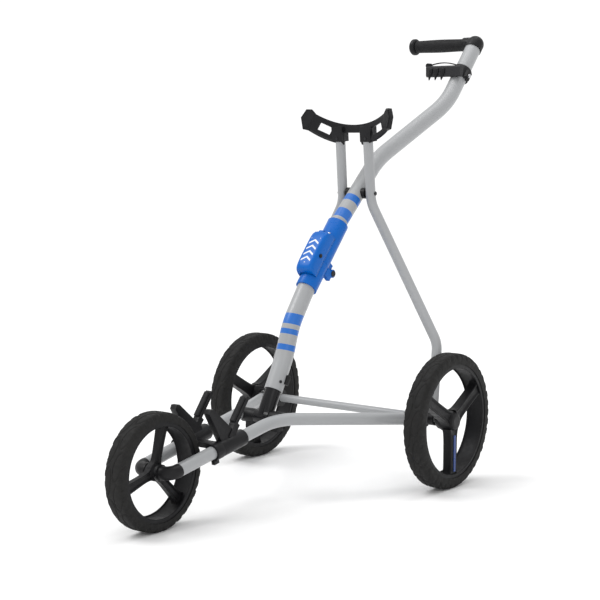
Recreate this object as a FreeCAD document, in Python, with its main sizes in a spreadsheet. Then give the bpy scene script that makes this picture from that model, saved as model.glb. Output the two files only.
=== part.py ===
import FreeCAD, Part
import math
import os
from types import SimpleNamespace

import Sketcher
from FreeCAD import Placement, Rotation, Vector

# A three-wheeled golf push trolley. +Z is up, -Y is the way it is pushed, +X is its left side.
# Lengths are in millimetres. The origin is on the ground under the middle of the trolley.
# Positions along the trolley are measured from a datum that lies middle_y behind the origin's
# zero, so every point goes through at(x, y, z).

os.makedirs("parts", exist_ok=True)
doc = FreeCAD.newDocument("GolfTrolley")
sheet = doc.addObject("Spreadsheet::Sheet", "Sizes")

SIZES = [
    ("middle_y", 134.5, "datum to the middle of the trolley"),
    ("rear_wheel_radius", 145, "rear tyre, outside"), ("rear_wheel_width", 44, "rear tyre"),
    ("rear_track_half", 262, "middle of a rear wheel"), ("rear_axle_y", 300, "rear axle"),
    ("front_wheel_radius", 115, "front tyre, outside"), ("front_wheel_width", 45, "front tyre"),
    ("front_axle_y", -332.5, "front axle"),
    ("rim_wall", 8, "thickness of a rim's barrel"), ("spoke_width", 24, "rear spoke"),
    ("front_spoke_width", 17, "front spoke"),
    ("arm_diameter", 26, "wishbone arm tube"), ("axle_diameter", 18, "rear axle tube"),
    ("lower_spine_diameter", 39, "lower spine tube"), ("upper_spine_diameter", 37, "upper spine tube"),
    ("stay_diameter", 22, "stay tube"), ("tube_wall", 2, "wall of every tube"),
    ("foot_y", 3, "spine foot pivot"), ("foot_z", 168, "spine foot pivot"),
    ("hinge_y", 215, "spine hinge pin"), ("hinge_z", 452, "spine hinge pin"),
    ("stay_pivot_y", 335, "upper stay pivot"), ("stay_pivot_z", 622, "upper stay pivot"),
    ("stay_foot_x", 225, "lower stay pivot"),
    ("sleeve_radius", 23.5, "blue hinge sleeve"), ("sleeve_gap", 0.4, "between the two sleeves"),
    ("handle_x", 85, "side offset of the handle stem"),
    ("handle_y", 696, "grip axis"), ("handle_z", 962, "grip axis"),
    ("grip_radius", 15.5, "hand grip"), ("fit_gap", 0.05, "radial running fit"),
    ("cover_length", 105, "latch cover"), ("cover_width", 45, "latch cover"),
    ("cradle_half", 106, "middle of the cradle to its tip"), ("tee_bore", 2.7, "tee hole radius"),
]
for row, (alias, value, note) in enumerate(SIZES, start=1):
    sheet.set("A%d" % row, note)
    sheet.set("B%d" % row, str(value))
    sheet.setAlias("B%d" % row, alias)
doc.recompute()


class Dim:
    """A length that knows its value now and the expression that ties it to the spreadsheet."""

    def __init__(self, value, text):
        self.value, self.text = value, text

    def _join(self, other, sign, result):
        text = other.text if isinstance(other, Dim) else repr(float(other))
        return Dim(result, "(%s %s %s)" % (self.text, sign, text))

    def __add__(self, other):
        return self._join(other, "+", self.value + number(other))

    def __sub__(self, other):
        return self._join(other, "-", self.value - number(other))

    def __mul__(self, other):
        return self._join(other, "*", self.value * number(other))

    def __truediv__(self, other):
        return self._join(other, "/", self.value / number(other))

    def __neg__(self):
        return self * -1


def number(value):
    return value.value if isinstance(value, Dim) else float(value)


def dim(alias):
    return Dim(float(sheet.get(alias)), "Sizes." + alias)


d = SimpleNamespace(**{alias: dim(alias) for alias, _, _ in SIZES})


def at(x, y, z):
    """A point given from the datum, in the trolley's own frame."""
    return Vector(x, y - number(d.middle_y), z)


def side(point, sign):
    """The same point on the left (+1) or on the right (-1)."""
    return Vector(point.x * sign, point.y, point.z)


def facing(base, direction, up=None):
    """A placement whose own Z axis looks along direction, with its own X axis near up."""
    spin = Rotation(Vector(0, 0, 1), direction) if up is None else \
        Rotation(up, Vector(0, 0, 0), direction, "ZXY")
    return Placement(base, spin)


def bound(obj, prop, value):
    if isinstance(value, Dim):
        obj.setExpression(prop, value.text)
    else:
        setattr(obj, prop, value)


parts = []


def finish(obj, label):
    """Marks an object as a finished piece of the trolley and names it."""
    obj.Label = label
    parts.append(obj)
    return obj


def rod(radius, start, end, name="Rod"):
    """A cylinder of this radius between two points."""
    obj = doc.addObject("Part::Cylinder", name)
    bound(obj, "Radius", radius)
    obj.Height = (end - start).Length
    obj.Placement = facing(start, end - start)
    return obj


def across(radius, x0, x1, y, z, name="Cross"):
    """A cylinder along X from x0 to x1."""
    return rod(radius, at(x0, number(y), number(z)), at(x1, number(y), number(z)), name)


def block(size, centre, rotation=None, name="Block"):
    """A box about its own centre."""
    obj = doc.addObject("Part::Box", name)
    for prop, value in zip(("Length", "Width", "Height"), size):
        bound(obj, prop, value)
    rotation = rotation or Rotation()
    half = Vector(*[number(v) / 2 for v in size])
    obj.Placement = Placement(centre - rotation.multVec(half), rotation)
    return obj


def ball(radius, centre):
    obj = doc.addObject("Part::Sphere", "Ball")
    bound(obj, "Radius", radius)
    obj.Placement = Placement(centre, Rotation())
    return obj


def fuse(*shapes):
    obj = doc.addObject("Part::MultiFuse", "Joined")
    obj.Shapes = list(shapes)
    return obj


def cut(base, *tools):
    obj = doc.addObject("Part::Cut", "Trimmed")
    obj.Base = base
    obj.Tool = tools[0] if len(tools) == 1 else fuse(*tools)
    return obj


def group(*shapes):
    obj = doc.addObject("Part::Compound", "Group")
    obj.Links = list(shapes)
    return obj


def rounded(base, radius, test):
    """Fillets the edges of base that pass the test."""
    doc.recompute()
    edges = [i for i, e in enumerate(base.Shape.Edges, start=1) if test(e)]
    obj = doc.addObject("Part::Fillet", "Rounded")
    obj.Base = base
    obj.Edges = [(i, radius, radius) for i in edges]
    return obj


def route(points, radii):
    """Straight runs through the points, joined by tangent arcs of the given radii."""
    edges, start = [], points[0]
    for before, corner, after, radius in zip(points, points[1:], points[2:], radii):
        a, b = (before - corner).normalize(), (after - corner).normalize()
        half = a.getAngle(b) / 2
        reach = radius / math.tan(half)
        middle = corner + (a + b).normalize() * (radius / math.sin(half) - radius)
        first, last = corner + a * reach, corner + b * reach
        edges.append(Part.LineSegment(start, first).toShape())
        edges.append(Part.Arc(first, middle, last).toShape())
        start = last
    edges.append(Part.LineSegment(start, points[-1]).toShape())
    path = doc.addObject("Part::Feature", "Route")
    path.Shape = Part.Wire(edges)
    return path


def swept(path, radius):
    """A round bar along a path."""
    ring = doc.addObject("Part::Circle", "Ring")
    bound(ring, "Radius", radius)
    first = path.Shape.Edges[0]
    ring.Placement = facing(first.valueAt(first.FirstParameter), first.tangentAt(first.FirstParameter))
    bar = doc.addObject("Part::Sweep", "Bar")
    bar.Sections = [ring]
    bar.Spine = (path, ["Edge%d" % i for i in range(1, len(path.Shape.Edges) + 1)])
    bar.Solid = True
    bar.Frenet = False
    bar.Transition = "Right corner"
    return bar


def tube(points, radii, diameter):
    """A bent tube and the solid bar that it would fill."""
    path = route(points, radii)
    bar = swept(path, diameter / 2)
    return cut(bar, swept(path, diameter / 2 - d.tube_wall)), bar


def origin_plane(body, role):
    return next(f for f in body.Origin.OriginFeatures if f.Role == role)


def sketch_on(body, role, name):
    sketch = body.newObject("Sketcher::SketchObject", name)
    sketch.AttachmentSupport = [(origin_plane(body, role), "")]
    sketch.MapMode = "FlatFace"
    return sketch


def pin_value(sketch, constraint, value):
    index = sketch.addConstraint(constraint)
    if isinstance(value, Dim):
        sketch.setExpression("Constraints[%d]" % index, value.text)


def polygon(sketch, points):
    """A closed outline whose corners are held by their distances from the sketch's origin."""
    corners = [Vector(number(x), number(y), 0) for x, y in points]
    count = len(corners)
    first = sketch.GeometryCount
    for i in range(count):
        sketch.addGeometry(Part.LineSegment(corners[i], corners[(i + 1) % count]))
    for i in range(count):
        sketch.addConstraint(Sketcher.Constraint("Coincident", first + i, 2, first + (i + 1) % count, 1))
    for i, (x, y) in enumerate(points):
        for kind, value in (("DistanceX", x), ("DistanceY", y)):
            pin_value(sketch, Sketcher.Constraint(kind, -1, 1, first + i, 1, number(value)), value)


def turned(name, profile, placement=None):
    """A body turned about its own X axis from a profile of (x, radius) corners."""
    body = doc.addObject("PartDesign::Body", name)
    sketch = sketch_on(body, "XY_Plane", name + "Profile")
    polygon(sketch, profile)
    spin = body.newObject("PartDesign::Revolution", name + "Turn")
    spin.Profile = sketch
    spin.ReferenceAxis = (sketch, ["H_Axis"])
    spin.Angle = 360
    body.Tip = spin
    if placement:
        body.Placement = placement
    return body


def padded(name, outline, thickness, placement, fillet=0):
    """A plate: an outline in its own XY plane, padded both ways along its own Z axis."""
    body = doc.addObject("PartDesign::Body", name)
    sketch = sketch_on(body, "XY_Plane", name + "Outline")
    polygon(sketch, outline)
    pad = body.newObject("PartDesign::Pad", name + "Pad")
    pad.Profile = sketch
    bound(pad, "Length", thickness)
    pad.Midplane = True
    body.Tip = pad
    if fillet:
        doc.recompute()
        edge = body.newObject("PartDesign::Fillet", name + "Round")
        edge.Base = (pad, ["Edge%d" % i for i in range(1, len(pad.Shape.Edges) + 1)])
        edge.Radius = fillet
        body.Tip = edge
    body.Placement = placement
    return body


LEFT, RIGHT = 1, -1
foot, hinge = at(0, number(d.foot_y), number(d.foot_z)), at(0, number(d.hinge_y), number(d.hinge_z))
stay_pivot = at(0, number(d.stay_pivot_y), number(d.stay_pivot_z))

# ---------------------------------------------------------------- wheels
# Each wheel lies about its own centre and turns about X; its outer face looks along +X.


def tyre(label, radius, width, placement):
    """A foam tyre with rounded shoulders, seated on the rim's barrel."""
    half, seat = width / 2, radius * 0.84
    profile = [(-half + 2, seat), (half - 2, seat), (half, seat + 2), (half, radius - 11),
               (half - 4, radius - 4), (half - 10, radius), (-half + 10, radius),
               (-half + 4, radius - 4), (-half, radius - 11), (-half, seat + 2)]
    return finish(turned("Tyre", profile, placement), label)


def rim(label, radius, width, web, spoke, hub, bore, turn, placement):
    """A rim: barrel, hub and a web between them that three windows cut into three spokes."""
    half, seat = width / 2, radius * 0.84
    inner = seat - d.rim_wall
    profile = [(-hub[1], bore), (hub[1], bore), (hub[1], hub[0]), (web[1], hub[0] + 1), (web[1], inner - 1),
               (half - 3, inner + 3), (half - 1, seat), (-half + 1, seat), (-half + 3, inner + 3),
               (web[0], inner - 1), (web[0], hub[0] + 1), (-hub[1], hub[0])]
    body = turned("Rim", profile)
    doc.recompute()
    solid_volume = body.Shape.Volume
    sketch = sketch_on(body, "YZ_Plane", "WindowOutline")
    window(sketch, hub[0] + 6, inner - 3, spoke / 2, turn)
    pocket = body.newObject("PartDesign::Pocket", "Window")
    pocket.Profile = sketch
    pocket.Type = 1
    pocket.Midplane = True
    body.Tip = pocket
    doc.recompute()
    pattern = body.newObject("PartDesign::PolarPattern", "Windows")
    pattern.Originals = [pocket]
    pattern.Axis = (origin_plane(body, "X_Axis"), [""])
    pattern.Angle = 360
    pattern.Occurrences = 3
    body.Tip = pattern
    doc.recompute()
    if body.Shape.Volume > solid_volume * 0.95:
        raise RuntimeError("the windows of %s did not cut" % label)
    body.Placement = placement
    return finish(body, label)


def window(sketch, inner, outer, half_spoke, turn):
    """A sector between two spokes that stand 120 degrees apart, its flanks parallel to the spokes."""
    r0, r1, w = number(inner), number(outer), number(half_spoke)
    corners = []
    for angle, sign in ((turn, 1), (turn + 120, -1)):
        a = math.radians(angle)
        along, over = Vector(math.cos(a), math.sin(a), 0), Vector(-math.sin(a), math.cos(a), 0)
        corners.append([along * math.sqrt(r * r - w * w) + over * w * sign for r in (r0, r1)])
    (in_a, out_a), (in_b, out_b) = corners
    middle = math.radians(turn + 60)
    mid = Vector(math.cos(middle), math.sin(middle), 0)
    sketch.addGeometry(Part.LineSegment(in_a, out_a))
    sketch.addGeometry(Part.Arc(out_a, mid * r1, out_b))
    sketch.addGeometry(Part.LineSegment(out_b, in_b))
    sketch.addGeometry(Part.Arc(in_b, mid * r0, in_a))
    for arc, radius in ((1, outer), (3, inner)):
        sketch.addConstraint(Sketcher.Constraint("Coincident", arc, 3, -1, 1))
        pin_value(sketch, Sketcher.Constraint("Radius", arc, number(radius)), radius)


def bearings(label, bore, hub_end, placement):
    """The two ball races in the ends of a hub."""
    races = []
    for sign in (LEFT, RIGHT):
        ends = (hub_end - 8, hub_end) if sign > 0 else (-hub_end, 8 - hub_end)
        race = turned("Race", [(ends[0], bore), (ends[1], bore), (ends[1], 11), (ends[0], 11)], placement)
        races.append(race)
    return finish(group(*races), label)


def rear_wheel(name, sign):
    centre = at(sign * number(d.rear_track_half), number(d.rear_axle_y), number(d.rear_wheel_radius))
    spin = Placement(centre, Rotation(Vector(0, 0, 1), 0 if sign > 0 else 180))
    tyre("tyre_rear_" + name, d.rear_wheel_radius, d.rear_wheel_width, spin)
    rim("rim_rear_" + name, d.rear_wheel_radius, d.rear_wheel_width, (-3, 18), d.spoke_width,
        (22, 20), 11, 30, spin)
    bearings("bearings_rear_" + name, d.fit_gap + 6, 20, spin)
    finish(turned("Cap", [(20.2, 0), (23.5, 0), (23.5, 12), (22, 17), (20.2, 18)], spin), "hub_cap_" + name)
    return spin


left_spin = rear_wheel("left", LEFT)
rear_wheel("right", RIGHT)
accent = padded("Accent", [(-3.5, -108), (3.5, -108), (3.5, -30), (-3.5, -30)], 1.6,
                left_spin * Placement(Vector(18.9, 0, 0), Rotation(Vector(0, 1, 0), Vector(0, 0, 1),
                                                                   Vector(1, 0, 0), "ZXY")))
finish(accent, "spoke_accent")

front_spin = Placement(at(0, number(d.front_axle_y), number(d.front_wheel_radius)), Rotation())
tyre("tyre_front", d.front_wheel_radius, d.front_wheel_width, front_spin)
rim("rim_front", d.front_wheel_radius, d.front_wheel_width, (-6.5, 6.5), d.front_spoke_width,
    (18, 12.5), 11, 75, front_spin)
bearings("bearings_front", d.fit_gap + 5, 12.5, front_spin)

# ---------------------------------------------------------------- wishbone
# Two arms run back from the front wheel, bend outwards behind the spine's foot and end at the
# rear axle, which is a plain cross tube with a stub for each wheel.

axle_y, axle_z = number(d.rear_axle_y), number(d.rear_wheel_radius)
nose_y, nose_z = number(d.front_axle_y), number(d.front_wheel_radius)
arm_bars = {}
for name, sign in (("left", LEFT), ("right", RIGHT)):
    points = [side(p, sign) for p in (at(42.8, -310, 119.1), at(50, -20, 173), at(207, 258, 148.9))]
    arm, bar = tube(points, [160], d.arm_diameter)
    arm_bars[name] = bar
    finish(arm, "arm_" + name)
    start, bend, end = points
    back = (end - bend).normalize()
    socket = rod(14.2, end - back * 24, end + back * 4)
    hub = side(at(198, axle_y, axle_z), sign)
    neck = rod(11.2, end + back * 2, hub)
    eye = across(20, sign * 186, sign * 209.5, axle_y, axle_z)
    bore = across(d.axle_diameter / 2, sign * 180, sign * 220, axle_y, axle_z)
    finish(cut(fuse(socket, neck, eye), bar, bore), "axle_bracket_" + name)
    inner, corner = side(at(12.8, nose_y, nose_z), sign), side(at(42.3, nose_y, nose_z), sign)
    entry = (bend - start).normalize()
    pipe = swept(route([inner, corner, start], [20]), 13.5)
    collar = across(16, sign * 12.8, sign * 19, nose_y, nose_z)
    spigot = rod(d.arm_diameter / 2 - d.tube_wall - 0.1, start - entry * 2, start + entry * 20)
    axle_room = across(5, sign * 10, sign * 27, nose_y, nose_z)
    finish(cut(fuse(pipe, collar, spigot), axle_room, arm), "front_elbow_" + name)
    outwards = Rotation(Vector(0, 0, 1), 0 if sign > 0 else 180)
    stub = turned("Stub", [(0, 0), (60, 0), (60, 6), (27.5, 6), (27.5, 9), (20, 9), (20, 6), (0, 6)],
                  Placement(side(at(214, axle_y, axle_z), sign), outwards))
    finish(stub, "axle_stub_" + name)

axle = across(d.axle_diameter / 2, -234, 234, axle_y, axle_z)
finish(cut(axle, across(6, -240, 240, axle_y, axle_z)), "rear_axle_tube")

finish(across(5, -27, 27, nose_y, nose_z), "front_axle")

# ---------------------------------------------------------------- bag brackets
# A collar on each arm carries a paddle that leans forward and a padded post that leans back, so
# that the foot of the bag sits in the V between them. A bridge ties the two collars together.

arm_line = (at(50, -20, 173) - at(42.6, -318, 117.6)).normalize()
collar_bars = []
for name, sign in (("left", LEFT), ("right", RIGHT)):
    def on_arm(y):
        """The arm's centre at this distance along the trolley."""
        return side(at(42.6 + (y + 318) * 7.4 / 298, y, 117.6 + (y + 318) * 55.4 / 298), sign)
    collar = rod(17, on_arm(-196), on_arm(-127))
    collar_bars.append(collar)
    on_edge = Rotation(Vector(0, 1, 0), Vector(0, 0, 1), Vector(1, 0, 0), "ZXY")
    paddle = padded("Paddle", [(-18, -12), (24, -8), (22, 3), (-44, 58), (-52, 58), (-56, 50)], 15,
                    Placement(side(at(44, -174, 165), sign), on_edge))
    lean = Rotation(Vector(1, 0, 0), -38)
    post = block((14, 9, 66), side(at(47, -135.5, 207), sign), lean)
    root = block((14, 15, 34), side(at(47, -158, 172), sign), lean)
    finish(cut(fuse(collar, paddle, post, root), arm_bars[name]), "bag_bracket_" + name)
    pad = block((12, 5, 56), side(at(47, -140.6, 212), sign), lean)
    finish(rounded(pad, 1.6, lambda e: True), "bag_pad_" + name)
    clamp = fuse(rod(17.6, on_arm(-216), on_arm(-196.2)),
                 block((8, 14, 12), on_arm(-207) + Vector(0, 0, -19), Rotation(Vector(1, 0, 0), 10.5)))
    finish(cut(clamp, arm_bars[name]), "collar_clamp_" + name)
bridge = block((64, 16, 11), at(0, -183, 143), Rotation(Vector(1, 0, 0), 10.5))
finish(cut(bridge, *collar_bars), "bracket_bridge")

# ---------------------------------------------------------------- spine foot pivot
cheeks = [across(15, sign * 19.5, sign * 54, d.foot_y, d.foot_z) for sign in (LEFT, RIGHT)]
webs = [block((22.5, 20, 24), at(sign * 31, 3, 156)) for sign in (LEFT, RIGHT)]
pivot_block = fuse(*cheeks, *webs, block((84, 21, 7.5), at(0, 3, 146)))
finish(cut(pivot_block, arm_bars["left"], arm_bars["right"], across(5, -42, 42, d.foot_y, d.foot_z)),
       "spine_pivot_block")
finish(across(5, -42, 42, d.foot_y, d.foot_z), "spine_pivot_bolt")

# ---------------------------------------------------------------- lower spine
tube_end = at(0, 33, 220)
rise = (tube_end - foot).normalize()
sleeve_start, sleeve_end = at(0, 147, 425), at(0, 263, 557)
along = (sleeve_end - sleeve_start).normalize()
rear = Vector(0, along.z, -along.y)


def on_sleeve(travel, out=0.0, x=0.0):
    """A point by its travel along the sleeve's axis and its distance behind it."""
    return sleeve_start + along * travel + rear * out + Vector(x, 0, 0)


lower_tube, lower_bar = tube([tube_end, at(0, 72.2, 288), at(0, 93, 352), sleeve_start, on_sleeve(38)],
                             [220, 170, 150], d.lower_spine_diameter)
finish(lower_tube, "lower_spine_tube")
eye = across(16, -18.5, 18.5, d.foot_y, d.foot_z)
column = rod(17.2, foot, tube_end)
spigot = rod(d.lower_spine_diameter / 2 - d.tube_wall - 0.1, tube_end, tube_end + rise * 18)
finish(cut(fuse(eye, column, spigot), across(d.fit_gap + 5, -20, 20, d.foot_y, d.foot_z)), "spine_foot")

SPLIT = (hinge - sleeve_start).dot(along)
OFFSET = (hinge - sleeve_start).dot(rear)
slope = Rotation(Vector(1, 0, 0), math.degrees(math.atan2(along.z, along.y)))


def knuckle(start, end, ears, inner_bar):
    """One sleeve of the hinge, with its ears round the hinge pin."""
    pieces = [rod(d.sleeve_radius, on_sleeve(start), on_sleeve(end))]
    low = SPLIT - 20 if end <= SPLIT else SPLIT + number(d.sleeve_gap)
    for x0, x1 in ears:
        pieces.append(across(9, x0, x1, d.hinge_y, d.hinge_z))
        middle = on_sleeve(low + 10, OFFSET - 11, (x0 + x1) / 2)
        pieces.append(block((x1 - x0, 19.6, 22), middle, slope))
    return cut(fuse(*pieces), inner_bar, across(4, -40, 40, d.hinge_y, d.hinge_z))


finish(knuckle(0, SPLIT, [(-21.5, -12), (12, 21.5)], lower_bar), "lower_knuckle")
finish(turned("Hinge", [(-24, 0), (24, 0), (24, 6), (22, 7), (22, 4), (-22, 4), (-22, 7), (-24, 6)],
              Placement(hinge, Rotation())), "hinge_pin")

catch = block((8, 12, 20), at(19.5, 54, 240), Rotation(Vector(1, 0, 0), -28))
finish(cut(catch, lower_bar), "storage_catch")
screw_root = tube_end + rise * 18
facing_front = Vector(0, -rise.z, rise.y)
screws = []
for sign in (LEFT, RIGHT):
    radial = Vector(sign * 0.912, 0, 0) + facing_front * 0.41
    screws.append(rod(3.2, screw_root + radial * 19.6, screw_root + radial * 20.8))
finish(group(*screws), "foot_screws")

# ---------------------------------------------------------------- upper spine
# The upper tube leaves the sleeve, rises at about 43 degrees and jogs sideways under the handle,
# so that the one-sided grip is centred on the trolley.

jog_end, stem_end = at(85, 572, 823.5), at(85, 689, 954)
upper_tube, upper_bar = tube([on_sleeve(80), sleeve_end, at(0, 414, 696), jog_end, stem_end],
                             [260, 160, 172], d.upper_spine_diameter)
finish(upper_tube, "upper_spine_tube")
lug = block((11, 14, 14), on_sleeve(121, -28), slope)
latch_axis = on_sleeve(124, -33)
latch_rod = rod(2.5, latch_axis + Vector(-20, 0, 0), latch_axis + Vector(20, 0, 0))
upper_knuckle = knuckle(SPLIT + number(d.sleeve_gap), 175, [(-11.6, 11.6)], upper_bar)
boss = rod(6, latch_axis + Vector(-5.5, 0, 0), latch_axis + Vector(5.5, 0, 0))
latch_lug = cut(fuse(lug, boss), rod(d.sleeve_radius - 1, on_sleeve(100), on_sleeve(140)))
finish(cut(fuse(upper_knuckle, latch_lug), latch_rod), "upper_knuckle")
finish(latch_rod, "latch_pin")

bosses = [cut(across(12, *ends, d.stay_pivot_y, d.stay_pivot_z), upper_bar)
          for ends in ((12, 26), (-26, -12))]
finish(group(*bosses), "stay_pivot_bosses")

grip_line = at(number(d.handle_x), number(d.handle_y), number(d.handle_z))
stem = (stem_end - jog_end).normalize()
elbow = fuse(ball(20.5, grip_line), rod(20.5, grip_line - stem * 17, grip_line),
             rod(17.5, at(56, 696, 962), grip_line))
screw_top, screw_dir = at(66, 676, 965), Vector(0, 5, -0.6).normalize()
screw_hole = rod(4, screw_top, screw_top + screw_dir * 5)
finish(cut(elbow, upper_bar, screw_hole), "handle_elbow")
finish(rod(3.8, screw_top + screw_dir * 2.6, screw_top + screw_dir * 4.9), "handle_screw")
grip_spin = Placement(at(0, 696, 962), Rotation())
finish(turned("Grip", [(-76, 0), (55.8, 0), (55.8, d.grip_radius), (-76, d.grip_radius)], grip_spin),
       "handle_grip")
grip_end = turned("GripEnd", [(-90, 0), (-76.2, 0), (-76.2, 16.5), (-79, 19.5), (-86, 19.5), (-90, 16)],
                  grip_spin)
finish(grip_end, "grip_end_cap")

# The clamp on the stem carries a tee holder across its front, with a flat arched clip on top.
clamp_at = at(85, 633, 891.5)
band = rod(22.5, clamp_at - stem * 13, clamp_at + stem * 11)
lug = block((10, 22, 16), clamp_at + Vector(22, -8, -4), Rotation(Vector(1, 0, 0), 48))
finish(cut(fuse(band, lug), upper_bar), "accessory_clamp")
tray = block((92, 15, 26), at(61, 599, 897))
tray = rounded(tray, 5, lambda e: abs(e.Vertexes[0].X - e.Vertexes[1].X) > 50)
tees = [rod(d.tee_bore, at(x, 597, 880), at(x, 597, 915)) for x in (30, 46.5, 63)]
knob = rod(5.5, at(18, 594, 911), at(18, 608, 911))
finish(cut(tray, *tees, knob, band, lug, upper_bar), "tee_holder")
strap = cut(rod(112, at(55, 601.5, 806), at(55, 606, 806)), rod(109.5, at(55, 590, 806), at(55, 610, 806)),
            block((240, 30, 240), at(55, 600, 790.2)))
finish(fuse(strap, knob), "accessory_clip")
bolt_axis = clamp_at + Vector(27.2, -10, -6)
finish(rod(5, bolt_axis, bolt_axis + Vector(3, 0, 0)), "accessory_bolt")

# ---------------------------------------------------------------- latch
# The cover hinges at its top on the upper knuckle and hangs over both sleeves.
cover = padded("Cover", [(-d.cover_width / 2, -d.cover_length / 2), (d.cover_width / 2, -d.cover_length / 2),
                         (d.cover_width / 2, d.cover_length / 2), (-d.cover_width / 2, d.cover_length / 2)],
               33, Placement(on_sleeve(74.5, -26.5), slope), 6)
sleeve_room = rod(d.sleeve_radius + 1, on_sleeve(0), on_sleeve(150))
slot = block((12, 24, 34), on_sleeve(122, -24), slope)
pin_room = rod(d.fit_gap + 2.5, latch_axis + Vector(-21, 0, 0), latch_axis + Vector(21, 0, 0))
button_at = on_sleeve(66, -29, 20.4)
button_room = rod(4.3, button_at, button_at + Vector(5, 0, 0))
back_room = block((60, 140, 30), on_sleeve(74.5, 3), slope)
finish(cut(cover, sleeve_room, slot, pin_room, button_room, back_room), "latch_cover")
finish(rod(4, button_at + Vector(1.6, 0, 0), button_at + Vector(3.6, 0, 0)), "release_button")

# ---------------------------------------------------------------- stays and bag cradle
stay_x = number(d.stay_foot_x)
bolts, eyes = [], []
for name, sign in (("left", LEFT), ("right", RIGHT)):
    eye, knee = at(stay_x, axle_y, axle_z), at(207, 344, 302)
    lean = (knee - eye).normalize()
    points = [side(p, sign) for p in (eye + lean * 16, knee, at(38, 335, 601), at(37, 322.5, 742))]
    stay, bar = tube(points, [60, 70], d.stay_diameter)
    hole = across(3, sign * 20, sign * 60, d.stay_pivot_y, d.stay_pivot_z)
    finish(cut(stay, hole), "stay_" + name)
    arm_bars["stay_" + name] = bar

    head = across(4.5, sign * 48.9, sign * 50.2, d.stay_pivot_y, d.stay_pivot_z)
    shank = across(3, sign * 27, sign * 49, d.stay_pivot_y, d.stay_pivot_z)
    bolts.append(fuse(head, shank))
    ring = across(14.5, sign * 217, sign * 233, axle_y, axle_z)
    neck = rod(9.8, side(eye + lean * 5, sign), side(eye + lean * 15.6, sign))
    plug = rod(d.stay_diameter / 2 - d.tube_wall - 0.1, side(eye + lean * 13, sign),
               side(eye + lean * 34, sign))
    eyes.append(cut(fuse(ring, neck, plug), across(d.axle_diameter / 2 + d.fit_gap, sign * 210, sign * 240,
                                                   axle_y, axle_z)))
finish(group(*bolts), "stay_bolts")
finish(group(*eyes), "stay_eyes")

# The cradle is a curved band. Its arc lies in a plane that tips forward, so that its ends rise
# and come forward while its faces stay nearly upright. A tab widens each end and carries a pad.
half_span, depth, band_thick, band_height = number(d.cradle_half), 41.3, 7.0, 40.0
radius = (half_span ** 2 + depth ** 2) / (2 * depth)
low_point = at(0, 316, 733)
reach = Vector(0, -23.5, 34).normalize()
upright = Vector(0, 0.12, 0.993)


def arc_point(r, angle):
    """A point of the cradle's arc, whose centre lies one radius along reach from low_point."""
    return low_point + reach * radius + (Vector(1, 0, 0) * math.sin(angle) - reach * math.cos(angle)) * r


sweep = math.asin(half_span / radius)
inside, outside = radius, radius + band_thick
edges = [Part.Arc(*[arc_point(inside, a) for a in (-sweep, 0, sweep)]).toShape(),
         Part.LineSegment(arc_point(inside, sweep), arc_point(outside, sweep)).toShape(),
         Part.Arc(*[arc_point(outside, a) for a in (sweep, 0, -sweep)]).toShape(),
         Part.LineSegment(arc_point(outside, -sweep), arc_point(inside, -sweep)).toShape()]
crescent = doc.addObject("Part::Feature", "CradleSection")
crescent.Shape = Part.Face(Part.Wire(edges))
band = doc.addObject("Part::Extrusion", "CradleBand")
band.Base = crescent
band.DirMode = "Custom"
band.Dir = upright
band.LengthFwd = band_height
band.Solid = True
tabs, pads, cheeks, windows = [], [], [], []
socket_tilt = Rotation(Vector(1, 0, 0), 5)
for name, sign in (("left", LEFT), ("right", RIGHT)):
    tip = arc_point(inside, sweep * sign)
    out = (Vector(1, 0, 0) * math.cos(sweep) * sign + reach * math.sin(sweep)).normalize()
    inward = out.cross(upright).normalize() * sign
    across_tab = inward.cross(out) * sign
    frame = Rotation(out * sign, across_tab, inward, "ZXY")
    shape = [(-6, -4), (7, -9), (25, 10), (25, 32), (14, 39), (2, 36)]
    flip = [(x * sign, v) for x, v in shape]
    tabs.append(padded("Tab", flip if sign > 0 else flip[::-1], 8, Placement(tip - inward * 3, frame)))
    patch = [(x * sign, v) for x, v in ((-2, -1), (7, -5), (22, 11), (22, 30), (13, 35), (4, 32))]
    pads.append(padded("Patch", patch if sign > 0 else patch[::-1], 1.6,
                       Placement(tip + inward * 1.9, frame)))
    cheeks.append(block((28, 25.5, 33), side(at(38, 322.3, 752.5), sign), socket_tilt))
    windows.append(block((32, 60, 17), side(at(70, 300, 764), sign), Rotation(Vector(0, 1, 0), sign * -24)))
notch = block((47, 60, 46), at(0, 320, 732))
cradle = cut(fuse(band, *tabs, *cheeks), notch, *windows, arm_bars["stay_left"], arm_bars["stay_right"])
finish(cradle, "bag_cradle")
finish(group(*pads), "cradle_end_pads")
socket_face = at(38, 322.3, 752.5) + socket_tilt.multVec(Vector(0, -12.75, -9.5))
forward = socket_tilt.multVec(Vector(0, -1, 0))
finish(group(*[rod(3.2, side(socket_face, sign), side(socket_face + forward * 1.3, sign))
               for sign in (LEFT, RIGHT)]), "cradle_screws")

doc.recompute()
for obj in doc.Objects:
    if "Invalid" in obj.State or "Error" in obj.State:
        raise RuntimeError("%s (%s) failed to recompute" % (obj.Name, obj.Label))
for obj in parts:
    if obj.Shape.isNull() or not obj.Shape.isValid():
        raise RuntimeError("%s has no valid shape" % obj.Label)
for obj in parts:
    obj.Shape.exportStep("parts/%s.step" % obj.Label)
total = Part.makeCompound([obj.Shape for obj in parts])
box = total.BoundBox
print("%d pieces, box X %.1f..%.1f Y %.1f..%.1f Z %.1f..%.1f" % (
    len(parts), box.XMin, box.XMax, box.YMin, box.YMax, box.ZMin, box.ZMax))
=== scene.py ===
import math

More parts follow.
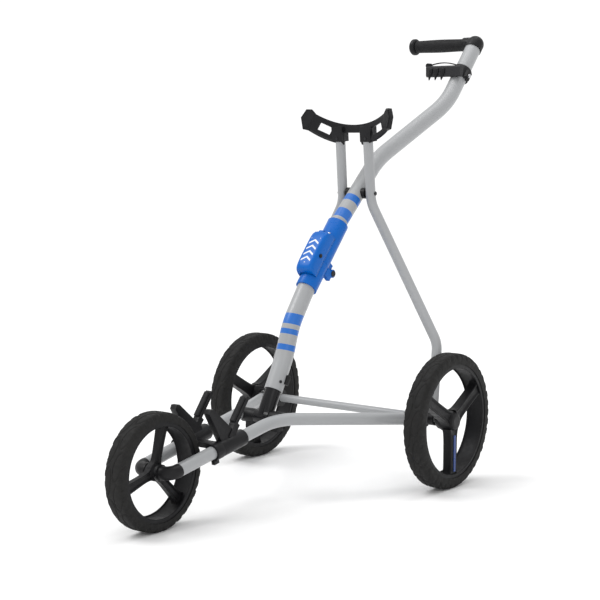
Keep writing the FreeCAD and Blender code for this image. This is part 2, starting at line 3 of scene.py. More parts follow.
import bmesh
import bpy
import numpy as np
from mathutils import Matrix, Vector


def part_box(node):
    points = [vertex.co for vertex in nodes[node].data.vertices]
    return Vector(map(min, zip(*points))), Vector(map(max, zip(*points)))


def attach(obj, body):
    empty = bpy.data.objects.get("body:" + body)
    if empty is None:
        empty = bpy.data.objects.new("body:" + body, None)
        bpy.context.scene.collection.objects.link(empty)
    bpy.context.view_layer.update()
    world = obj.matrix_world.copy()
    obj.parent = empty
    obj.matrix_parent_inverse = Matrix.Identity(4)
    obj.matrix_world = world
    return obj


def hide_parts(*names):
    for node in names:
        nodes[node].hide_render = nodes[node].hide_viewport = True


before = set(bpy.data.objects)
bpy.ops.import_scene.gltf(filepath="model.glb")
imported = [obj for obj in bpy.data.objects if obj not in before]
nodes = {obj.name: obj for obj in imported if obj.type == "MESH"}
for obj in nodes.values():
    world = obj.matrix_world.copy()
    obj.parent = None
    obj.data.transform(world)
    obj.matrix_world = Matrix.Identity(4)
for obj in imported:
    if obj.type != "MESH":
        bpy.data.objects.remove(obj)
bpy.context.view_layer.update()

# ------------------------------------------------------------------ camera, floor and light
# The trolley stands on a wide white floor in soft studio light. The camera looks at it from
# the front left, a little below the handle, through a long lens.

camera = bpy.data.objects.new("camera", bpy.data.cameras.new("camera"))
camera.data.lens = 86.94
camera.data.sensor_width = 36
camera.location = (1.8527, -2.4463, 0.7491)
camera.rotation_euler = (math.radians(83.5227), 0, math.radians(37.2417))
bpy.context.scene.collection.objects.link(camera)
bpy.context.scene.camera = camera
bpy.context.scene.view_settings.view_transform = "Standard"

# The backdrop is seen a little brighter than it lights, so that the floor's soft shadows show.
WORLD_LIGHT, WORLD_SEEN = 0.86, 1.08
FLOOR_REACH = 60


def soft_light(name, place, aim, size, power):
    """A square area lamp at a place, turned to face the point aim."""
    lamp = bpy.data.lights.new(name, "AREA")
    lamp.energy, lamp.size = power, size
    holder = bpy.data.objects.new(name, lamp)
    holder.location = place
    holder.rotation_euler = (Vector(aim) - Vector(place)).to_track_quat("-Z", "Y").to_euler()
    bpy.context.scene.collection.objects.link(holder)


key = bpy.data.objects.new("key_light", bpy.data.lights.new("key_light", "SUN"))
key.data.energy, key.data.angle = 1.15, math.radians(32)
key.rotation_euler = Vector((1.6, 1.3, -2.9)).to_track_quat("-Z", "Y").to_euler()
bpy.context.scene.collection.objects.link(key)
soft_light("fill_light", (2.6, -2.2, 1.4), (0, 0, 0.5), 2.0, 10)
soft_light("top_light", (0.2, 0.6, 3.0), (0, 0.1, 0.3), 1.6, 16)
world = bpy.data.worlds.new("studio")
world.use_nodes = True
made, link = world.node_tree.nodes, world.node_tree.links
light, seen = made["Background"], made.new("ShaderNodeBackground")
rays, choose = made.new("ShaderNodeLightPath"), made.new("ShaderNodeMixShader")
for background, strength in ((light, WORLD_LIGHT), (seen, WORLD_SEEN)):
    background.inputs["Color"].default_value = (1, 1, 1, 1)
    background.inputs["Strength"].default_value = strength
link.new(rays.outputs["Is Camera Ray"], choose.inputs[0])
link.new(light.outputs[0], choose.inputs[1])
link.new(seen.outputs[0], choose.inputs[2])
link.new(choose.outputs[0], made["World Output"].inputs["Surface"])
bpy.context.scene.world = world


def shell(name, *grids, smooth_angle=40):
    """One object from grids of points, each (points, closed_u, closed_v, capped).

    In a grid of rows and columns, corner (i, j) joins (i+1, j), (i+1, j+1) and (i, j+1), going
    round again where closed. A capped grid gets a face over its first and its last row. Doubles
    are merged, so a row drawn together to one point becomes a closed pole, and the normals are
    turned outwards.
    """
    corners, faces, start = [], [], 0
    for points, closed_u, closed_v, capped in grids:
        rows, columns = points.shape[:2]
        ids = start + np.arange(rows * columns).reshape(rows, columns)
        ring = np.vstack([ids, ids[:1]]) if closed_u else ids
        ring = np.hstack([ring, ring[:, :1]]) if closed_v else ring
        quads = np.stack([ring[:-1, :-1], ring[:-1, 1:], ring[1:, 1:], ring[1:, :-1]], axis=-1)
        faces += quads.reshape(-1, 4).tolist()
        if capped:
            faces += [ids[0][::-1].tolist(), ids[-1].tolist()]
        corners.append(points.reshape(-1, 3))
        start += rows * columns
    mesh = bpy.data.meshes.new(name)
    mesh.from_pydata(np.vstack(corners).tolist(), [], faces)
    work = bmesh.new()
    work.from_mesh(mesh)
    bmesh.ops.remove_doubles(work, verts=work.verts, dist=1e-6)
    bmesh.ops.recalc_face_normals(work, faces=work.faces)
    work.to_mesh(mesh)
    work.free()
    mesh.polygons.foreach_set("use_smooth", np.ones(len(mesh.polygons), bool))
    mesh.set_sharp_from_angle(angle=math.radians(smooth_angle))
    piece = bpy.data.objects.new(name, mesh)
    bpy.context.scene.collection.objects.link(piece)
    return piece


def hand_over(piece, material, slot, body, *replaced):
    """Gives a new piece its material and its body, and takes the CAD nodes away. The slot is not used."""
    piece.data.materials.clear()
    piece.data.materials.append(material)
    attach(piece, body)
    if replaced:
        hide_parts(*replaced)


# The floor is level and so wide that its far edge lies on the horizon.
width = np.linspace(-FLOOR_REACH, FLOOR_REACH, 9)
floor = shell("floor", (np.stack(np.broadcast_arrays(width[:, None], width[None], 0.0), axis=-1),
                        False, False, False))


def shading(name):
    """A new material, with its nodes, its links and its Principled shader."""
    material = bpy.data.materials.new(name)
    material.use_nodes = True
    tree = material.node_tree
    return material, tree.nodes, tree.links, tree.nodes["Principled BSDF"]


paper, made, link, shader = shading("studio_floor")
shader.inputs["Roughness"].default_value = 0.95
shader.inputs["Specular IOR Level"].default_value = 0.1
place, fibre, tint = (made.new("ShaderNode" + kind) for kind in ("TexCoord", "TexNoise", "MixRGB"))
fibre.inputs["Scale"].default_value = 60
tint.inputs["Color1"].default_value = (0.94, 0.94, 0.94, 1)
tint.inputs["Color2"].default_value = (0.96, 0.96, 0.96, 1)
link.new(place.outputs["Object"], fibre.inputs["Vector"])
link.new(fibre.outputs["Fac"], tint.inputs["Fac"])
link.new(tint.outputs["Color"], shader.inputs["Base Color"])
floor.data.materials.append(paper)

# ------------------------------------------------------------------ arm and axle tubes
# Bent aluminium tubes, sprayed in a satin silver grey lacquer. The two arms plug into moulded
# elbows at the nose and into brackets on the rear axle, which is a plain cross tube.

group_inputs = {"Colour": "NodeSocketColor", "Float": "NodeSocketFloat", "Vector": "NodeSocketVector"}


def effect(name, inputs, outputs):
    """An empty shader node group with named sockets, and its nodes, links, input and output."""
    tree = bpy.data.node_groups.new(name, "ShaderNodeTree")
    for direction, sockets in (("INPUT", inputs), ("OUTPUT", outputs)):
        for label, kind in sockets.items():
            tree.interface.new_socket(label, in_out=direction, socket_type=group_inputs[kind])
    return tree, tree.nodes.new("NodeGroupInput"), tree.nodes.new("NodeGroupOutput")


def surface_film():
    """Clouded colour, uneven gloss and a fine raised grain, as lacquer or a mould leaves it.

    Colour is a mix of two tints by slow noise. Roughness runs between two limits by middling
    noise. Height is fast noise, which a Bump node takes.
    """
    tree, given, out = effect("surface_film", {"Light": "Colour", "Dark": "Colour", "Cloud": "Float",
                                               "Grain": "Float", "Smooth": "Float", "Rough": "Float"},
                              {"Colour": "Colour", "Roughness": "Float", "Height": "Float"})
    place = tree.nodes.new("ShaderNodeTexCoord")
    slow, middling, fast = (tree.nodes.new("ShaderNodeTexNoise") for _ in range(3))
    slow.inputs["Detail"].default_value = 4
    middling.inputs["Scale"].default_value = 140
    fast.inputs["Detail"].default_value = 3
    for noise in (slow, middling, fast):
        tree.links.new(place.outputs["Object"], noise.inputs["Vector"])
    tree.links.new(given.outputs["Cloud"], slow.inputs["Scale"])
    tree.links.new(given.outputs["Grain"], fast.inputs["Scale"])
    tint, gloss = tree.nodes.new("ShaderNodeMixRGB"), tree.nodes.new("ShaderNodeMapRange")
    tree.links.new(slow.outputs["Fac"], tint.inputs["Fac"])
    tree.links.new(given.outputs["Light"], tint.inputs["Color1"])
    tree.links.new(given.outputs["Dark"], tint.inputs["Color2"])
    gloss.inputs["From Min"].default_value, gloss.inputs["From Max"].default_value = 0.3, 0.7
    tree.links.new(middling.outputs["Fac"], gloss.inputs["Value"])
    tree.links.new(given.outputs["Smooth"], gloss.inputs["To Min"])
    tree.links.new(given.outputs["Rough"], gloss.inputs["To Max"])
    tree.links.new(tint.outputs["Color"], out.inputs["Colour"])
    tree.links.new(gloss.outputs["Result"], out.inputs["Roughness"])
    tree.links.new(fast.outputs["Fac"], out.inputs["Height"])
    return tree


film_effect = surface_film()


def finish_of(name, light, dark, cloud, grain, smooth, rough, raised, metallic=0.0, shine=0.5):
    """A material whose colour, gloss and grain come from surface_film. raised is the grain in metres."""
    material, made, link, shader = shading(name)
    film, bump = made.new("ShaderNodeGroup"), made.new("ShaderNodeBump")
    film.node_tree = film_effect
    film.name = "film"
    for label, value in (("Light", (*light, 1)), ("Dark", (*dark, 1)), ("Cloud", cloud), ("Grain", grain),
                         ("Smooth", smooth), ("Rough", rough)):
        film.inputs[label].default_value = value
    bump.inputs["Distance"].default_value = raised
    shader.inputs["Metallic"].default_value = metallic
    shader.inputs["Specular IOR Level"].default_value = shine
    link.new(film.outputs["Colour"], shader.inputs["Base Color"])
    link.new(film.outputs["Roughness"], shader.inputs["Roughness"])
    link.new(film.outputs["Height"], bump.inputs["Height"])
    link.new(bump.outputs["Normal"], shader.inputs["Normal"])
    return material


def coat(material, *names):
    """Gives CAD nodes a material through their own slots."""
    for name in names:
        slots = nodes[name].data.materials
        for i in range(max(1, len(slots))):
            if i < len(slots):
                slots[i] = material
            else:
                slots.append(material)


def silver_lacquer(name):
    """Satin silver grey under a thin, slightly dull clear coat."""
    material = finish_of(name, (0.345, 0.352, 0.36), (0.295, 0.302, 0.31), 7, 900, 0.30, 0.44, 0.00001)
    sockets = material.node_tree.nodes["Principled BSDF"].inputs
    sockets["Coat Weight"].default_value = sockets["Coat Roughness"].default_value = 0.25
    return material


def overprint(material, mask, colour):
    """Mixes a flat ink over a material's film where the mask is one."""
    made, link = material.node_tree.nodes, material.node_tree.links
    tint = made.new("ShaderNodeMixRGB")
    tint.inputs["Color2"].default_value = (*colour, 1)
    link.new(mask, tint.inputs["Fac"])
    link.new(made["film"].outputs["Colour"], tint.inputs["Color1"])
    link.new(tint.outputs["Color"], made["Principled BSDF"].inputs["Base Color"])


silver = silver_lacquer("silver_lacquer")
coat(silver, "arm_left", "arm_right", "rear_axle_tube", "stay_left", "stay_right")

# ------------------------------------------------------------------ sockets and brackets
# Glass-filled nylon mouldings that hold the tube ends. The mould has a fine spark-eroded grain and an uneven
# gloss.
# The larger ones come again below, with softer edges.

nylon = finish_of("black_nylon", (0.012, 0.012, 0.013), (0.006, 0.006, 0.007), 24, 1500, 0.30, 0.50, 0.00005,
                  shine=0.20)
coat(nylon, "axle_bracket_left", "axle_bracket_right", "stay_eyes", "stay_pivot_bosses",
     "accessory_clip", "hub_cap_left", "hub_cap_right", "release_button")

# ------------------------------------------------------------------ bolts, pins and bearings
# Turned steel: bright zinc on the stubs, bearings and pins, and black oxide on the bolts whose
# heads show. Both have a fine, slightly clouded grain.

bright_steel = finish_of("zinc_steel", (0.66, 0.66, 0.67), (0.50, 0.51, 0.53), 60, 2200, 0.18, 0.34,
                         0.00002, 1.0)
black_steel = finish_of("oxide_steel", (0.05, 0.05, 0.052), (0.025, 0.025, 0.027), 60, 2000, 0.28, 0.45,
                        0.00002, 1.0)
coat(bright_steel, "axle_stub_left", "axle_stub_right", "bearings_front", "bearings_rear_left",
     "bearings_rear_right", "latch_pin", "accessory_bolt", "spine_pivot_bolt")
coat(black_steel, "front_axle", "hinge_pin", "stay_bolts", "foot_screws", "cradle_screws",
     "handle_screw")

# ------------------------------------------------------------------ tyres
# Closed-cell foam rings, moulded with a skin, stretched over the rims. Both shoulders are
# notched all round, and long slanted leaf shapes are grooved into the tread.

foam = finish_of("foam_skin", (0.021, 0.0205, 0.020), (0.012, 0.012, 0.012), 30, 1100, 0.55, 0.78, 0.00003,
                 shine=0.14)
SEAT_SHARE = 0.84


def wheel_place(tyre):
    """Centre, radius and half width of a wheel, from its tyre's box."""
    low, high = (np.array(corner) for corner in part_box(tyre))
    return (low + high) / 2, (high[2] - low[2]) / 2, (high[0] - low[0]) / 2


def round_axle(x, radius, angle, centre):
    """Points at distance x along the axle and radius from it, at an angle from straight up."""
    x, radius, angle = np.broadcast_arrays(x, radius, angle)
    return np.stack([centre[0] + x, centre[1] + radius * np.sin(angle), centre[2] + radius * np.cos(angle)],
                    axis=-1)


def tyre(name, node, body):
    """A tyre: a flattened half circle over a seat, turned about the axle, notched and grooved.

    The section is (cos^0.34, sin^0.50) of an angle, spread evenly along its length. Near each
    shoulder the surface sinks in a train of short notches. On the tread it sinks along the
    outlines of ovals that stand in two rows, slanted, half a step apart.
    """
    centre, outer, half = wheel_place(node)
    seat = SEAT_SHARE * outer
    fine = np.linspace(0, math.pi, 2001)
    profile_x = half * np.sign(np.cos(fine)) * np.abs(np.cos(fine)) ** 0.34
    profile_r = seat + (outer - seat) * np.sin(fine) ** 0.50
    length = np.concatenate([[0], np.cumsum(np.hypot(np.diff(profile_x), np.diff(profile_r)))])
    even = np.linspace(0, length[-1], 74)
    x, r = np.interp(even, length, profile_x), np.interp(even, length, profile_r)
    steps = int(round(2 * math.pi * outer / 0.0011))
    turn = np.linspace(0, 2 * math.pi, steps, endpoint=False)[:, None]
    x, r = x[None] + 0 * turn, r[None] + 0 * turn

    count = int(round(2 * math.pi * outer / 0.0215))
    shoulder = np.exp(-((np.abs(x) / half - 0.93) / 0.10) ** 2) * (r > seat + 0.35 * (outer - seat))
    beat = np.cos(count * turn + np.where(x > 0, 0, math.pi / 2))
    notch = 0.0036 * shoulder / (1 + np.exp(-9 * (beat - 0.35)))

    pairs = int(round(2 * math.pi * outer / 0.062))
    groove = np.zeros_like(r)
    for row, offset in ((1, 0.0), (-1, 0.5)):
        along = ((turn * pairs / (2 * math.pi) + offset) % 1 - 0.5) * 2 * math.pi * outer / pairs
        aside = x - row * 0.50 * half - 0.13 * along
        oval = np.sqrt((along / 0.027) ** 2 + (aside / 0.0090) ** 2)
        groove += np.exp(-((oval - 1) / 0.09) ** 2)
    groove *= 0.0016 * (r > outer - 0.008)

    r = r - notch - np.minimum(groove, 0.0016)
    piece = shell(name, (round_axle(x, r, turn, centre), True, True, False), smooth_angle=80)
    hand_over(piece, foam, "foam_tyre", body, node)


tyre("tyre_moulding_rear_left", "tyre_rear_left", "rear_left_wheel")
tyre("tyre_moulding_rear_right", "tyre_rear_right", "rear_right_wheel")
tyre("tyre_moulding_front", "tyre_front", "front_wheel")

# ------------------------------------------------------------------ rims
# One black nylon moulding a wheel: a barrel with a lip on each side, a hub, and three spokes
# that flare out into both. Each spoke is a shallow channel, open to the outside.

rim_nylon = finish_of("wheel_nylon", (0.010, 0.010, 0.011), (0.005, 0.005, 0.006), 20, 1300, 0.32, 0.52,
                      0.00005, shine=0.18)


def spoke(centre, angle, reach, web, hub_radius, widths):
    """A spoke from the hub to the barrel, as a channel section carried outwards.

    Its width runs evenly from the first of widths to the second, and flares where it meets the
    hub and the barrel. Its outer face sinks between two raised edges by a smooth bump of depth
    4 mm that fades out at the ends.
    """
    away = np.linspace(0, 1, 60)[:, None]
    radius = hub_radius * 0.72 + (reach - hub_radius * 0.72) * away
    half = (widths[0] + (widths[1] - widths[0]) * away) / 2
    half = half + 0.006 * np.exp(-away / 0.10) + 0.007 * np.exp(-(1 - away) / 0.05)
    across = np.concatenate([np.linspace(-1, 1, 31), np.linspace(1, -1, 31)])[None]
    face = np.concatenate([np.ones(31), np.zeros(31)])[None]
    inner, outer = sorted(web, key=abs) if web[0] * web[1] > 0 else web
    bowl = 0.0042 * (1 / (1 + np.exp((np.abs(across) - 0.62) / 0.05))) * np.sin(math.pi * away) ** 0.35
    side = np.sign(outer - inner)
    x = np.where(face > 0, outer - side * bowl, inner)
    edge = 1 - 0.10 * (np.abs(across) ** 12)
    x = (inner + outer) / 2 + (x - (inner + outer) / 2) * edge
    sideways = half * across
    sin, cos = math.sin(angle), math.cos(angle)
    y, z = radius * sin + sideways * cos, radius * cos - sideways * sin
    points = np.stack(np.broadcast_arrays(centre[0] + x, centre[1] + y, centre[2] + z), axis=-1)
    return (points, False, True, True)


def ring(centre, profile):
    """A closed profile of (x, radius) corners, turned about the axle."""
    x, r = np.array(profile).T
    turn = np.linspace(0, 2 * math.pi, 180, endpoint=False)[:, None]
    return (round_axle(x[None], r[None], turn, centre), True, True, False)


def rim(name, node, body, first_spoke, web, hub, hub_half, widths):
    """A rim: barrel, hub and three spokes at third turns."""
    centre, outer, half = wheel_place("tyre" + node[3:])
    seat = SEAT_SHARE * outer - 0.0002
    bed, lip = seat - 0.0045, half * 0.93
    barrel = [(-lip, seat), (lip, seat), (lip, bed - 0.0025), (lip - 0.001, bed - 0.0035),
              (lip - 0.0025, bed - 0.0035), (lip - 0.004, bed - 0.001), (lip - 0.008, bed),
              (-lip + 0.008, bed), (-lip + 0.004, bed - 0.001), (-lip + 0.0025, bed - 0.0035),
              (-lip + 0.001, bed - 0.0035), (-lip, bed - 0.0025)]
    flank = [(-hub_half, 0.011), (hub_half, 0.011), (hub_half, hub * 0.80), (hub_half - 0.0022, hub * 0.88),
             (hub_half * 0.62, hub * 0.92), (hub_half * 0.45, hub), (-hub_half * 0.45, hub),
             (-hub_half * 0.62, hub * 0.92), (-hub_half + 0.0022, hub * 0.88), (-hub_half, hub * 0.80)]
    shapes = [ring(centre, barrel), ring(centre, flank)]
    shapes += [spoke(centre, math.radians(first_spoke + 120 * i), bed + 0.001, web, hub, widths)
               for i in range(3)]
    piece = shell(name, *shapes, smooth_angle=32)
    hand_over(piece, rim_nylon, "rim_black", body, node)


rim("rim_moulding_rear_left", "rim_rear_left", "rear_left_wheel", 180, (-0.003, 0.018), 0.022, 0.020,
    (0.024, 0.024))
rim("rim_moulding_rear_right", "rim_rear_right", "rear_right_wheel", 180, (0.003, -0.018), 0.022, 0.020,
    (0.024, 0.024))
rim("rim_moulding_front", "rim_front", "front_wheel", 15, (-0.0065, 0.0065), 0.018, 0.0125, (0.013, 0.022))

# A thin blue strip lies along one spoke of the left rear wheel. Its blue is set darker than the
# sleeves' blue as painted shade, for the shade that lies on the spoke's outer face.
accent_painted_shade = finish_of("accent_film_painted_shade", (0.008, 0.045, 0.22), (0.006, 0.032, 0.17), 40, 900, 0.25, 0.38, 0.00002)
coat(accent_painted_shade, "spoke_accent")

# ------------------------------------------------------------------ moulded brackets, softened
# The same nylon brackets and sockets as they leave the mould, with every outside edge rounded.
# They are screwed or pushed on to the tubes they hold.


def softened(name, node, body, material, slot, width):
    """A node's own shape, with its split corners merged and its edges rounded by width."""
    mesh = nodes[node].data.copy()
    mesh.transform(nodes[node].matrix_world)
    mesh.name = name
    work = bmesh.new()
    work.from_mesh(mesh)
    bmesh.ops.remove_doubles(work, verts=work.verts, dist=1e-5)
    bmesh.ops.dissolve_limit(work, angle_limit=0.01, verts=work.verts, edges=work.edges)
    bmesh.ops.recalc_face_normals(work, faces=work.faces)
    work.to_mesh(mesh)
    work.free()
    mesh.polygons.foreach_set("use_smooth", np.ones(len(mesh.polygons), bool))
    piece = bpy.data.objects.new(name, mesh)
    bpy.context.scene.collection.objects.link(piece)
    bevel = piece.modifiers.new("edges", "BEVEL")
    bevel.width, bevel.segments, bevel.limit_method = width, 3, "ANGLE"
    bevel.angle_limit, bevel.harden_normals = math.radians(32), True
    hand_over(piece, material, slot, body, node)


for side_name in ("left", "right"):
    for label, node, edge in (("nose_elbow_", "front_elbow_", 0.0012),
                              ("bag_paddle_", "bag_bracket_", 0.0016), ("collar_", "collar_clamp_", 0.0012)):
        softened(label + side_name, node + side_name, "base", nylon, "black_plastic", edge)
softened("foot_block", "spine_pivot_block", "base", nylon, "black_plastic", 0.0014)
softened("collar_bridge", "bracket_bridge", "base", nylon, "black_plastic", 0.0016)

# ------------------------------------------------------------------ spine tubes
# A wider and a narrower aluminium tube in the same silver lacquer, with plain blue rings painted
# across them on each side of the hinge.


def painted_rings():
    """A mask that is one where a point's distance along a direction lies inside one of three bands.

    The distance is the dot product of the point and the direction. Each band is a centre and a
    half width, and the three tests are added.
    """
    tree, given, out = effect("painted_rings", {"Along": "Vector", "Centres": "Vector", "Halves": "Vector"},
                              {"Mask": "Float"})
    place, project = tree.nodes.new("ShaderNodeTexCoord"), tree.nodes.new("ShaderNodeVectorMath")
    project.operation = "DOT_PRODUCT"
    tree.links.new(place.outputs["Object"], project.inputs[0])
    tree.links.new(given.outputs["Along"], project.inputs[1])
    middles, spreads = tree.nodes.new("ShaderNodeSeparateXYZ"), tree.nodes.new("ShaderNodeSeparateXYZ")
    tree.links.new(given.outputs["Centres"], middles.inputs[0])
    tree.links.new(given.outputs["Halves"], spreads.inputs[0])
    total = None
    for axis in "XYZ":
        test = tree.nodes.new("ShaderNodeMath")
        test.operation = "COMPARE"
        tree.links.new(project.outputs["Value"], test.inputs[0])
        tree.links.new(middles.outputs[axis], test.inputs[1])
        tree.links.new(spreads.outputs[axis], test.inputs[2])
        if total:
            joined = tree.nodes.new("ShaderNodeMath")
            joined.operation = "MAXIMUM"
            tree.links.new(total, joined.inputs[0])
            tree.links.new(test.outputs[0], joined.inputs[1])
            total = joined.outputs[0]
        else:
            total = test.outputs[0]
    tree.links.new(total, out.inputs["Mask"])
    return tree


ring_effect = painted_rings()
NO_BAND = (-9, -9)


def ringed(name, direction, bands):
    """Silver lacquer with blue rings at the bands (start, end) along a direction."""
    material = silver_lacquer(name)
    mask = material.node_tree.nodes.new("ShaderNodeGroup")
    mask.node_tree = ring_effect
    mask.inputs["Along"].default_value = direction
    bands = bands + [NO_BAND] * (3 - len(bands))
    mask.inputs["Centres"].default_value = [(a + b) / 2 for a, b in bands]
    mask.inputs["Halves"].default_value = [(b - a) / 2 for a, b in bands]
    overprint(material, mask.outputs["Mask"], (0.000, 0.118, 0.47))
    return material


lower_bands = [(0.2652, 0.2778), (0.2999, 0.3114), (0.3219, 0.3455)]
upper_bands = [(0.4805, 0.5056), (0.5307, 0.5485)]
coat(ringed("lower_spine_lacquer", (0, 0.309, 0.951), lower_bands), "lower_spine_tube")
coat(ringed("upper_spine_lacquer", (0, 0.736, 0.677), upper_bands), "upper_spine_tube")

# ------------------------------------------------------------------ spine foot
# A glossy black moulding that plugs into the lower tube and turns on the pivot bolt. A small
# block on its side catches the folded spine.

gloss_nylon = finish_of("glossy_nylon", (0.009, 0.009, 0.010), (0.005, 0.005, 0.006), 18, 1300, 0.12, 0.22,
                        0.00002, shine=0.25)
softened("foot_column", "spine_foot", "lower_spine", gloss_nylon, "black_plastic", 0.0010)
softened("fold_catch", "storage_catch", "lower_spine", nylon, "black_plastic", 0.0012)

# ------------------------------------------------------------------ hinge sleeves and latch cover
# Blue satin mouldings. Two sleeves meet at the fold and turn on the hinge pin behind them. The
# latch cover is a thin domed shell, hinged at its top, with plain printed chevrons.

def satin_blue(name):
    """The blue of the sleeves and of the cover."""
    return finish_of(name, (0.000, 0.118, 0.48), (0.000, 0.100, 0.42), 16, 1400, 0.26, 0.36, 0.00003,
                     shine=0.22)


blue = satin_blue("blue_satin")
softened("sleeve_lower", "lower_knuckle", "lower_spine", blue, "blue_plastic", 0.0012)
softened("sleeve_upper", "upper_knuckle", "upper_spine", blue, "blue_plastic", 0.0010)

# The sleeve's axis starts at its base. The cover lies over the middle of it, in front.
sleeve_base = np.array([0, 0.0125, 0.425])
sleeve_along = np.array([0, 0.6601, 0.7512])
sleeve_rear = np.array([0, 0.7512, -0.6601])
HALF_WIDTH, HALF_LENGTH, MIDDLE, FRONT = 0.0224, 0.0522, 0.0745, -0.0429
SLEEVE_CLEAR, SIDE_SEAT, HOLE = 0.0250, 0.0106, 0.0044


def dome():
    """The cover's skin.

    Across and along, a point is the sine s of an angle times half the width or length. It stands
    off the sleeve's own curve by the product of the two values (1 - |s|^5)^(1/5).
    """
    sine = np.sin(np.linspace(-math.pi / 2, math.pi / 2, 181))
    rise = np.maximum(0, 1 - np.abs(sine) ** 5) ** 0.2
    x = HALF_WIDTH * sine[:, None] + 0 * sine[None]
    travel = MIDDLE + HALF_LENGTH * sine[None] + 0 * sine[:, None]
    seat = -np.sqrt(np.maximum(SLEEVE_CLEAR ** 2 - x ** 2, SIDE_SEAT ** 2))
    out = seat + (FRONT - seat) * rise[:, None] * rise[None]
    points = sleeve_base + travel[..., None] * sleeve_along + out[..., None] * sleeve_rear
    points[..., 0] += x
    return points


def button_hole(mesh):
    """Opens a round hole in the near wall, of radius HOLE about the release button's axis.

    Faces with a corner inside the circle go, and the corners left on the rim move out to it.
    """
    work = bmesh.new()
    work.from_mesh(mesh)
    axis = Vector((0.0204, *(sleeve_base + 0.066 * sleeve_along - 0.029 * sleeve_rear)[1:]))
    near = [v for v in work.verts if v.co.x > 0.020 and (v.co - axis).yz.length < 1.5 * HOLE]
    bmesh.ops.delete(work, geom=[v for v in near if (v.co - axis).yz.length < HOLE], context="VERTS")
    for corner in [v for v in near if v.is_valid and v.is_boundary]:
        corner.co.yz = axis.yz + (corner.co - axis).yz.normalized() * HOLE
    work.to_mesh(mesh)
    work.free()


def chevrons(mesh):
    """Stores 1 on the front's vertices where travel plus 0.7 of the offset falls in a stripe of 15 mm."""
    spots = np.empty(len(mesh.vertices) * 3)
    mesh.vertices.foreach_get("co", spots)
    spots = spots.reshape(-1, 3) - sleeve_base
    travel, aside = spots @ sleeve_along, np.abs(spots[:, 0])
    printed = (np.abs((travel + 0.7 * aside) % 0.015 - 0.0075) < 0.0022) & (aside < 0.0125)
    printed &= (travel > 0.038) & (travel < 0.103) & (spots @ sleeve_rear < -0.040)
    mesh.attributes.new("mark", "FLOAT", "POINT").data.foreach_set("value", printed.astype(float))


cover = shell("cover_shell", (dome(), False, False, False), smooth_angle=60)
button_hole(cover.data)
chevrons(cover.data)
thick = cover.modifiers.new("wall", "SOLIDIFY")
thick.thickness, thick.offset = 0.0018, -1
cover_blue = satin_blue("cover_blue")
stored = cover_blue.node_tree.nodes.new("ShaderNodeAttribute")
stored.attribute_name = "mark"
overprint(cover_blue, stored.outputs["Fac"], (0.78, 0.79, 0.80))
hand_over(cover, cover_blue, "blue_plastic", "latch", "latch_cover")

# ------------------------------------------------------------------ cradle and bag pads
# The cradle is a wide nylon yoke on the stay tops that takes the bag's neck. Rubber patches line
# its tabs, and rubber strips line the two leaning posts at the foot.

rubber = finish_of("pad_rubber", (0.016, 0.016, 0.017), (0.008, 0.008, 0.009), 40, 1200, 0.55, 0.75, 0.00008,
                   shine=0.22)
softened("cradle_yoke", "bag_cradle", "stays", nylon, "black_plastic", 0.0024)
coat(rubber, "cradle_end_pads")
for side_name in ("left", "right"):
    softened("pad_strip_" + side_name, "bag_pad_" + side_name, "base", rubber, "rubber", 0.0014)

# ------------------------------------------------------------------ handle
# A nylon elbow on the top of the spine carries a soft rubber grip, closed by a flanged cap. The
# screw sits deep in the elbow.

softened("handle_corner", "handle_elbow", "upper_spine", nylon, "black_plastic", 0.0012)
grip_box = [np.array(corner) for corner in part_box("handle_grip")]
grip_middle = (grip_box[0] + grip_box[1]) / 2


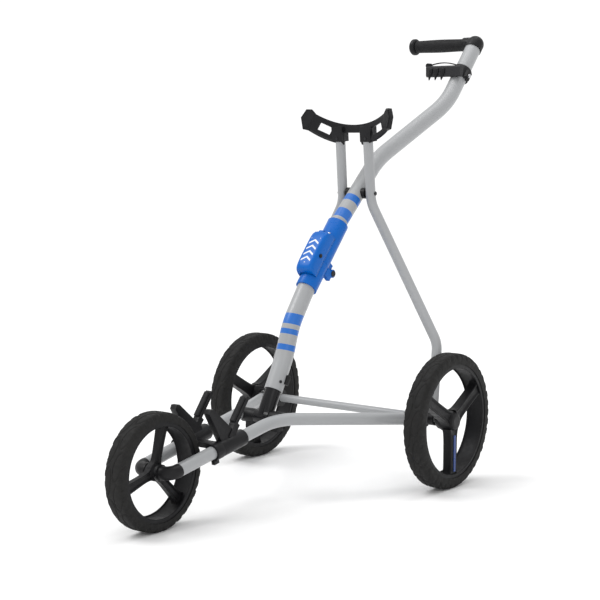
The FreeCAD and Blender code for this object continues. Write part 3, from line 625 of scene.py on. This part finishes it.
def grip_sleeve():
    """A tube along X whose radius dips by crossing spiral waves, with rounded ends.

    The dip is 0.5 mm at most, where the sines of angle plus and minus travel are both high.
    """
    half_length = (grip_box[1][0] - grip_box[0][0]) / 2
    radius = (grip_box[1][2] - grip_box[0][2]) / 2
    travel = np.linspace(-half_length, half_length, 300)[:, None]
    turn = np.linspace(0, 2 * math.pi, 220, endpoint=False)[None]
    wave = np.sin(18 * turn + travel * 900) * np.sin(18 * turn - travel * 900)
    swell = radius - 0.0010 * (1 - np.cos(travel / half_length * math.pi)) / 2
    edge = np.minimum(1, (half_length - np.abs(travel)) / 0.002)
    r = swell - 0.0005 * np.clip(wave, 0, 1) - 0.0018 * (1 - np.sqrt(1 - (1 - edge) ** 2))
    return np.stack(np.broadcast_arrays(grip_middle[0] + travel, grip_middle[1] + r * np.sin(turn),
                                        grip_middle[2] + r * np.cos(turn)), axis=-1)


grip = shell("grip_sleeve", (grip_sleeve(), False, True, True), smooth_angle=70)
hand_over(grip, rubber, "rubber", "upper_spine", "handle_grip")
softened("grip_cap", "grip_end_cap", "upper_spine", nylon, "black_plastic", 0.0008)

# ------------------------------------------------------------------ tee holder and clip
# A dark nylon tray for tees on a black clamp, screwed to the stem under the grip. Three slanted
# oval cups on its front hold the tees, and their tips come out below.

grey = finish_of("grey_nylon", (0.030, 0.030, 0.032), (0.020, 0.020, 0.022), 20, 1300, 0.38, 0.55, 0.00005,
                 shine=0.20)
softened("tee_tray", "tee_holder", "upper_spine", grey, "grey_plastic", 0.0010)


def tee_cups():
    """Three cups: circles swept down a slanted line, whose radius swells and then tapers to a tip."""
    along = np.linspace(0, 1, 40)[:, None]
    turn = np.linspace(0, 2 * math.pi, 40, endpoint=False)[None]
    radius = 0.0001 + 0.0062 * np.sin(math.pi * along ** 0.62) ** 0.55 * (1 - 0.35 * along)
    cups = []
    for x in (0.030, 0.0465, 0.063):
        cups.append((np.stack(np.broadcast_arrays(x - 0.006 * along + radius * np.cos(turn),
                                                  tray_front - 0.0005 + 0.75 * radius * np.sin(turn),
                                                  tray_base + 0.021 - 0.029 * along + 0 * turn), axis=-1),
                     False, True, True))
    return cups


_, tray_front, tray_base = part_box("tee_holder")[0]
cups = shell("tee_cups", *tee_cups(), smooth_angle=50)
hand_over(cups, nylon, "black_plastic", "upper_spine")
softened("stem_clamp", "accessory_clamp", "upper_spine", nylon, "black_plastic", 0.0010)
